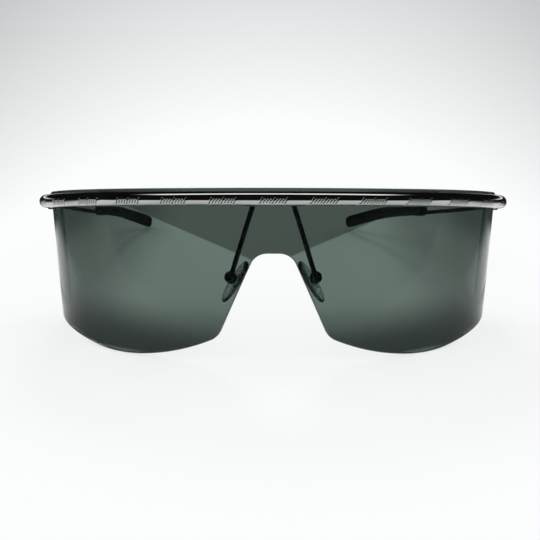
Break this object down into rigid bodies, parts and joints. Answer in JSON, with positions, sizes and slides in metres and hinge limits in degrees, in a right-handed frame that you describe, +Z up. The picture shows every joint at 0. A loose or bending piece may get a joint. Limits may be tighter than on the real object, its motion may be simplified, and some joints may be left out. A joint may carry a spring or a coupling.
{
  "type": "shield sunglasses",
  "caption": "Shield sunglasses: one wrapped dark lens under a polished round brow tube, wire nose arms with clear rocking pads, and folding slotted metal temples with black plastic tips.",
  "frame": {"origin": "centre of the overall box on the floor the glasses stand on", "axes": "+X to the right as seen from the front, +Y from the lens back to the temple tips, +Z up; the lens leans back as it stands"},
  "size_m": [0.1468, 0.1778, 0.048],
  "materials": {
    "lens": "polished, dark grey-green tint",
    "dark_metal": "polished gunmetal plate",
    "black_metal": "gloss black coat",
    "black_plastic": "polished black acetate",
    "pad": "clear soft silicone",
    "soft_clear": "translucent nylon",
    "screws": "fine turned steel"
  },
  "bodies": {
    "front": {"shield_lens": "lens", "brow_bar": "dark_metal", "nose_bridge": "black_metal", "bridge_gasket": "soft_clear", "bridge_screws": "screws", "end_screws": "screws", "end_washers": "screws", "lens_sleeves": "soft_clear", "left_hinge_lug": "dark_metal", "right_hinge_lug": "dark_metal", "left_hinge_screw": "screws", "right_hinge_screw": "screws", "left_pad_screw": "screws", "right_pad_screw": "screws"},
    "left_temple": {"left_temple_blade": "dark_metal", "left_temple_tip": "black_plastic"},
    "right_temple": {"right_temple_blade": "dark_metal", "right_temple_tip": "black_plastic"},
    "left_pad": {"left_nose_pad": "pad", "left_pad_core": "soft_clear"},
    "right_pad": {"right_nose_pad": "pad", "right_pad_core": "soft_clear"}
  },
  "joints": [
    {"name": "left_temple_fold", "type": "hinge", "parent": "front", "child": "left_temple", "pos_m": [-0.07142, -0.02697, 0.03307], "axis": [0, -0.2039, -0.979], "range_deg": [0, 84]},
    {"name": "right_temple_fold", "type": "hinge", "parent": "front", "child": "right_temple", "pos_m": [0.07142, -0.02697, 0.03307], "axis": [0, 0.2039, 0.979], "range_deg": [-10.5, 67.5]},
    {"name": "left_pad_rock", "type": "hinge", "parent": "front", "child": "left_pad", "pos_m": [-0.0118, -0.07957, 0.02196], "axis": [-0.2932, 0.9559, -0.0192], "range_deg": [-8, 8]},
    {"name": "right_pad_rock", "type": "hinge", "parent": "front", "child": "right_pad", "pos_m": [0.0118, -0.07957, 0.02196], "axis": [-0.2932, -0.9559, 0.0192], "range_deg": [-8, 8]}
  ]
}
